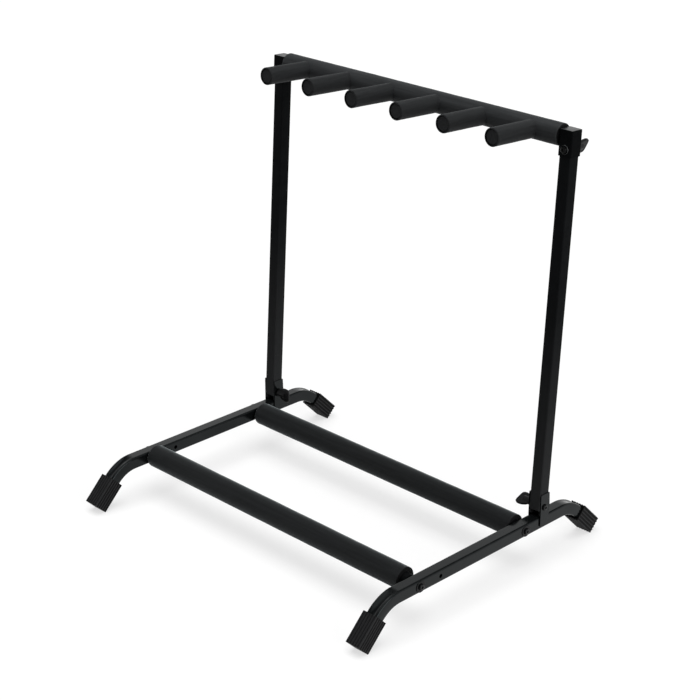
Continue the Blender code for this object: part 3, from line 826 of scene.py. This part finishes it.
def build_rail(looks, side, sign):
    """A rail with its feet and hinge ears."""
    mouth = FOOT_END - FOOT_LENGTH
    mouth_y = RAIL_REACH + mouth * math.cos(LEG_SLOPE)
    mouth_z = RAIL_HEIGHT - mouth * math.sin(LEG_SLOPE)
    tip_down = Matrix.Rotation(-math.pi / 2 - LEG_SLOPE, 4, "X")
    about = Matrix.Rotation(math.pi, 4, "Z")
    paint = looks["rail_paint"]
    x = sign * RAIL_X
    at = Matrix.Translation((x, 0, RAIL_HEIGHT))
    set_piece(f"rail_{side}", bent_rail(), at, [paint], "base", f"base_rail_{side}")
    rubber = [looks["foot_rubber"]]
    for end, turn in (("rear", Matrix()), ("front", about)):
        at = Matrix.Translation((x, 0, 0)) @ turn @ Matrix.Translation((0, mouth_y, mouth_z)) @ tip_down
        name = f"rubber_foot_{end}_{side}"
        set_piece(name, ribbed_foot(), at, rubber, "base", f"foot_{end}_{side}")
    # Painted shade: the ears' edges take the dark socket paint, their broad faces the rail paint
    shells = [looks["socket_paint"], paint]
    for face, out in (("outer", sign), ("inner", -sign)):
        at = Matrix.Translation((x + out * (EAR_INSIDE + EAR_T / 2), PIVOT_Y, PIVOT_Z))
        name = f"hinge_ear_{face}_{side}"
        set_piece(name, hinge_ear(), at, shells, "base", f"ear_{face}_{side}", RIGHT)


def build_hinge(looks, side, sign):
    """A pivot bolt with its washer and wing knob."""
    x = sign * RAIL_X
    steel = looks["bolt_steel"]
    inward = pointing((-sign, 0, 0))
    grip = 2 * (EAR_OUTSIDE + GAP) + WASHER_T + GAP
    at = Matrix.Translation((x + sign * (EAR_OUTSIDE + GAP), PIVOT_Y, PIVOT_Z)) @ inward
    bolt = button_bolt(grip + NUT_DEPTH - GAP)
    # Painted highlight: the bolt's flat faces take the paler steel
    shells = [steel, looks["bolt_face_painted_highlight"]]
    stands_for = f"pivot_bolt_{side}"
    set_piece(f"hinge_bolt_{side}", bolt, at, shells, "base", stands_for, RIGHT)
    seat = x - sign * (EAR_OUTSIDE + GAP)
    at = Matrix.Translation((seat, PIVOT_Y, PIVOT_Z)) @ inward
    ring = washer(KNOB_WASHER_D)
    stands_for = f"pivot_washer_{side}"
    set_piece(f"hinge_washer_{side}", ring, at, [steel], "base", stands_for)
    seat -= sign * (WASHER_T + GAP)
    turn = pointing((-sign, 0, 0), HINGE_KNOB_TURNS[side])
    at = Matrix.Translation((seat, PIVOT_Y, PIVOT_Z)) @ turn
    plastic = [looks["knob_plastic"]]
    body = f"pivot_knob_{side}"
    stands_for = f"pivot_wing_nut_{side}"
    set_piece(f"hinge_knob_{side}", wing_nut(), at, plastic, body, stands_for)


def build_bar(looks, number, name, y):
    """A cross bar with its foam, washers and bolts."""
    inside = RAIL_X - TUBE / 2
    at = Matrix.Translation((0, y, RAIL_HEIGHT)) @ pointing(RIGHT)
    paint = [looks["socket_paint"]]
    set_piece(f"bar_tube_{name}", bar_tube(), at, paint, "base", f"cross_tube_{name}")
    left, right = BAR_FOAM_SETBACKS[name]
    bore = BAR_TUBE_D + 2 * GAP
    pad = foam_sleeve(BAR_FOAM_D, bore, left - inside, inside - right, BAR_FOAM_RIM, BAR_FOAM_RINGS, number)
    shells = [looks["bar_foam"], looks["cut_foam"]]
    stands_for = f"cross_foam_{name}"
    pad = set_piece(f"bar_foam_{name}", pad, at, shells, "base", stands_for, RIGHT)
    for side, sign in SIDES.items():
        inward = pointing((-sign, 0, 0))
        seat = RAIL_X + TUBE / 2 + GAP + WASHER_T
        at = Matrix.Translation((sign * seat, y, RAIL_HEIGHT)) @ inward
        shells = [looks["washer_steel"]]
        ring = washer(BAR_WASHER_D)
        stands_for = f"cross_washer_{name}_{side}"
        set_piece(f"bar_washer_{name}_{side}", ring, at, shells, "base", stands_for)
        at = Matrix.Translation((sign * (seat + GAP), y, RAIL_HEIGHT)) @ inward
        bolt = button_bolt(WASHER_T + 3 * GAP + TUBE + BAR_END_WALL + BOLT_D / 2)
        # Painted highlight: the bolt's flat faces take the paler steel
        shells = [looks["bolt_steel"], looks["bolt_face_painted_highlight"]]
        stands_for = f"cross_bolt_{name}_{side}"
        set_piece(f"bar_bolt_{name}_{side}", bolt, at, shells, "base", stands_for, RIGHT)


def build_mast(looks):
    """Uprights, sockets, neck bar and pegs."""
    for side, sign in SIDES.items():
        build_upright(looks, side, sign * RAIL_X)
    paint = looks["socket_paint"]
    at = MAST @ Matrix.Translation((0, 0, BAR_RISE))
    half = RAIL_X - SOCKET / 2 - GAP
    neck = across(tube(NECK_TUBE_D, NECK_TUBE_D - 2 * ROUND_WALL, -half, half))
    set_piece("neck_tube", neck, at, [paint], "mast", "neck_bar_tube")
    shells = [looks["neck_foam"], looks["cut_foam"]]
    pad = set_piece("neck_foam", neck_foam(), at, shells, "mast", "neck_bar_foam", RIGHT)
    for number, x in enumerate(PEG_PLACES, 1):
        build_peg(looks, number, x)
        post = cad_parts[f"peg_post_{number}"]
        post.data.materials.clear()
        post.data.materials.append(paint)


def build_upright(looks, side, x):
    """An upright with its socket, and the bolt, washer and wing knob that hold it."""
    at = MAST @ Matrix.Translation((x, 0, 0))
    paint = [looks["upright_paint"]]
    set_piece(f"mast_leg_{side}", upright(), at, paint, "mast", f"upright_{side}")
    # Painted highlight: the socket's faces across the mast, its top among them, take the paler, glossier
    # copy of its paint
    shells = [looks["socket_paint"], looks["socket_top_painted_light"]]
    up = MAST.to_3x3() @ Vector((0, 0, 1))
    set_piece(f"top_socket_{side}", top_socket(), at, shells, "mast", f"socket_{side}", up)
    front = -SOCKET / 2 - GAP - WASHER_T
    at = MAST @ Matrix.Translation((x, front, SOCKET_BOLT_Z)) @ pointing(BACK)
    through = MAST.to_3x3() @ BACK
    # Painted highlight and shade: the washer's rim takes bright steel, its flat faces the dark socket paint
    shells = [looks["washer_rim_painted_highlight"], looks["socket_paint"]]
    ring = washer(SOCKET_WASHER_D)
    stands_for = f"socket_washer_{side}"
    set_piece(f"top_washer_{side}", ring, at, shells, "mast", stands_for, through)
    at = MAST @ Matrix.Translation((x, front - GAP, SOCKET_BOLT_Z)) @ pointing(BACK)
    bolt = button_bolt(SOCKET + 3 * GAP + WASHER_T + NUT_DEPTH - GAP)
    steel = [looks["bolt_steel"]]
    set_piece(f"top_bolt_{side}", bolt, at, steel, "mast", f"socket_bolt_{side}")
    turn = pointing(BACK, TOP_KNOB_TURNS[side])
    at = MAST @ Matrix.Translation((x, SOCKET / 2 + GAP, SOCKET_BOLT_Z)) @ turn
    plastic = [looks["knob_plastic"]]
    body = f"socket_knob_{side}"
    stands_for = f"socket_wing_nut_{side}"
    set_piece(f"top_knob_{side}", wing_nut(), at, plastic, body, stands_for)


def build_peg(looks, number, x):
    """A peg's foam and end disc."""
    at = MAST @ Matrix.Translation((x, 0, BAR_RISE)) @ pointing(-BACK)
    pad = peg_foam(PEG_FOAM_SEED + number)
    for face in pad.faces:
        middle = face.calc_center_median()
        face.material_index = int(middle.z > PEG_REACH / 2 and middle.xy.length < DISC_D / 2 + GAP)
    shells = [looks["peg_foam"], looks["cut_foam"]]
    stands_for = f"peg_foam_{number}"
    pad = set_piece(f"neck_peg_{number}", pad, at, shells, "mast", stands_for)
    plastic = [looks["disc_plastic"]]
    set_piece(f"peg_end_{number}", peg_disc(), at, plastic, "mast", f"peg_disc_{number}")


# Floor, light and camera


def seen(tree):
    """1 for rays that show the background: from the camera, or by way of gloss or glass."""
    path = tree.nodes.new("ShaderNodeLightPath")
    found = path.outputs["Is Camera Ray"]
    for ray in ("Is Glossy Ray", "Is Transmission Ray"):
        larger = tree.nodes.new("ShaderNodeMath")
        larger.operation = "MAXIMUM"
        tree.links.new(found, larger.inputs[0])
        tree.links.new(path.outputs[ray], larger.inputs[1])
        found = larger.outputs["Value"]
    return found


def set_floor():
    """A plain white floor with a pale shadow, greyer in the light that it throws back."""
    matt = {"Roughness": 0.9, "Specular_IOR_Level": 0.0, "Emission_Color": (1, 1, 1, 1)}
    made, tree, shader = finish("floor_white", **matt)
    shown = seen(tree)
    dress(
        tree,
        shader,
        Base_Color=tint(tree, shown, (0.22, 0.22, 0.22), (0.36, 0.36, 0.36), 0, 1),
        Emission_Strength=spread(tree, shown, 0.0, 0.66, 0, 1),
    )
    bm = bmesh.new()
    bmesh.ops.create_grid(bm, x_segments=1, y_segments=1, size=FLOOR_HALF)
    mesh = bpy.data.meshes.new("studio_floor")
    bm.to_mesh(mesh)
    bm.free()
    mesh.materials.append(made)
    floor = bpy.data.objects.new("studio_floor", mesh)
    floor.location.z = -FLOOR_DROP
    bpy.context.collection.objects.link(floor)


def set_world():
    """White low down, dim above and paler overhead, with less of it falling on matt surfaces."""
    world = bpy.data.worlds.new("studio")
    bpy.context.scene.world = world
    world.use_nodes = True
    tree = world.node_tree
    wide = tree.nodes["Background"]
    wide.inputs["Color"].default_value = (0.09, 0.09, 0.09, 1)
    where = tree.nodes.new("ShaderNodeTexCoord").outputs["Generated"]
    height = node(tree, "ShaderNodeSeparateXYZ", Vector=where).outputs["Z"]
    ramp = node(tree, "ShaderNodeValToRGB", Fac=height)
    stops = ramp.color_ramp.elements
    for where, _ in SKY[1:-1]:
        stops.new(where)
    for stop, (where, level) in zip(stops, SKY):
        stop.position = where
        stop.color = (level, level, level, 1)
    bright = node(tree, "ShaderNodeBackground", Color=ramp.outputs["Color"])
    mix = node(tree, "ShaderNodeMixShader", Fac=seen(tree))
    tree.links.new(wide.outputs["Background"], mix.inputs[1])
    tree.links.new(bright.outputs["Background"], mix.inputs[2])
    tree.links.new(mix.outputs["Shader"], tree.nodes["World Output"].inputs["Surface"])


def set_lamp(name, towards, power, spread_angle, mirrored=True):
    """A wide, even lamp far away, which gloss may or may not mirror."""
    lamp = bpy.data.lights.new(name, "SUN")
    lamp.energy = power
    lamp.angle = math.radians(spread_angle)
    made = bpy.data.objects.new(name, lamp)
    made.visible_glossy = mirrored
    made.rotation_euler = Vector(towards).to_track_quat("-Z", "Y").to_euler()
    bpy.context.collection.objects.link(made)


def set_camera():
    """The camera where the rack is looked down on from the front right."""
    data = bpy.data.cameras.new("camera")
    data.lens = LENS
    data.sensor_width = SENSOR
    made = bpy.data.objects.new("camera", data)
    made.location = CAMERA_PLACE
    made.rotation_euler = CAMERA_TURN
    bpy.context.collection.objects.link(made)
    bpy.context.scene.camera = made


def main():
    """Dresses the rack and sets the floor, light and camera."""
    looks = make_looks()
    build_base(looks)
    build_mast(looks)
    set_floor()
    set_world()
    set_lamp("overhead", (0.05, 0.05, -1), 2.6, 60, mirrored=False)
    set_lamp("right_fill", (-1, 0.02, -0.25), 1.75, 50)
    set_camera()
    bpy.context.scene.view_settings.view_transform = "Standard"


main()
